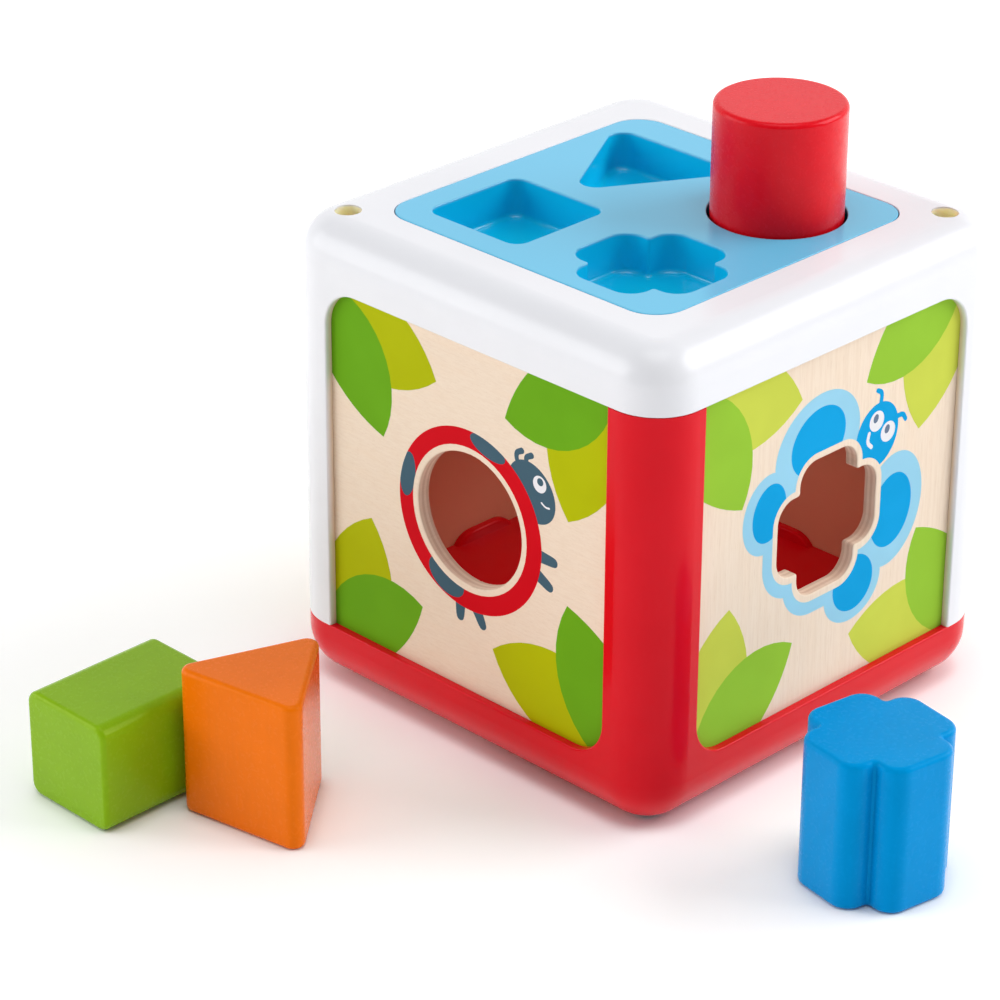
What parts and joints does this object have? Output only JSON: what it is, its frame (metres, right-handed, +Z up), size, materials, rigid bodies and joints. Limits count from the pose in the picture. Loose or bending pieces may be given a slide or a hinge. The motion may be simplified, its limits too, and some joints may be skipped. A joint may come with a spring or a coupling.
{
  "type": "shape sorter",
  "caption": "Cube box with a shaped hole in each side, a lift-off lid with matching pockets, and loose wooden blocks to post through the holes.",
  "frame": {"origin": "middle of the box's underside, in the plane that it stands on", "axes": "+Z up; -Y is the way out of the side with the round hole, +X the way out of the side with the four-lobed hole"},
  "size_m": [0.224, 0.2541, 0.1843],
  "materials": {
    "white_plastic": "glossy moulded ABS",
    "red_plastic": "glossy moulded ABS",
    "blue_plastic": "satin moulded ABS",
    "plywood": "fine sanded birch plywood, clear satin lacquer, screen printed in flat colours",
    "screw_steel": "zinc-plated self-tapping screws",
    "red_paint": "satin water-based paint on fine-grained wood",
    "green_paint": "satin water-based paint on fine-grained wood",
    "orange_paint": "satin water-based paint on fine-grained wood",
    "blue_paint": "satin water-based paint on fine-grained wood"
  },
  "bodies": {
    "box": {"top_frame": "white_plastic", "base_frame": "red_plastic", "panel_circle": "plywood", "panel_clover": "plywood", "panel_square": "plywood", "panel_triangle": "plywood", "frame_screws": "screw_steel"},
    "lid": {"lid_tray": "blue_plastic"},
    "cylinder": {"cylinder_block": "red_paint"},
    "square": {"square_block": "green_paint"},
    "triangle": {"triangle_block": "orange_paint"},
    "clover": {"clover_block": "blue_paint"}
  },
  "joints": [
    {"name": "lid_lift", "type": "slide", "parent": "box", "child": "lid", "axis": [0, 0, 1], "range_m": [0, 0.1]},
    {"name": "cylinder_lift", "type": "slide", "parent": "lid", "child": "cylinder", "axis": [0, 0, 1], "range_m": [0, 0.06]},
    {"name": "square_lift", "type": "slide", "parent": "box", "child": "square", "axis": [0, 0, 1], "range_m": [0, 0.1]},
    {"name": "triangle_lift", "type": "slide", "parent": "box", "child": "triangle", "axis": [0, 0, 1], "range_m": [0, 0.1]},
    {"name": "clover_lift", "type": "slide", "parent": "box", "child": "clover", "axis": [0, 0, 1], "range_m": [0, 0.1]}
  ]
}
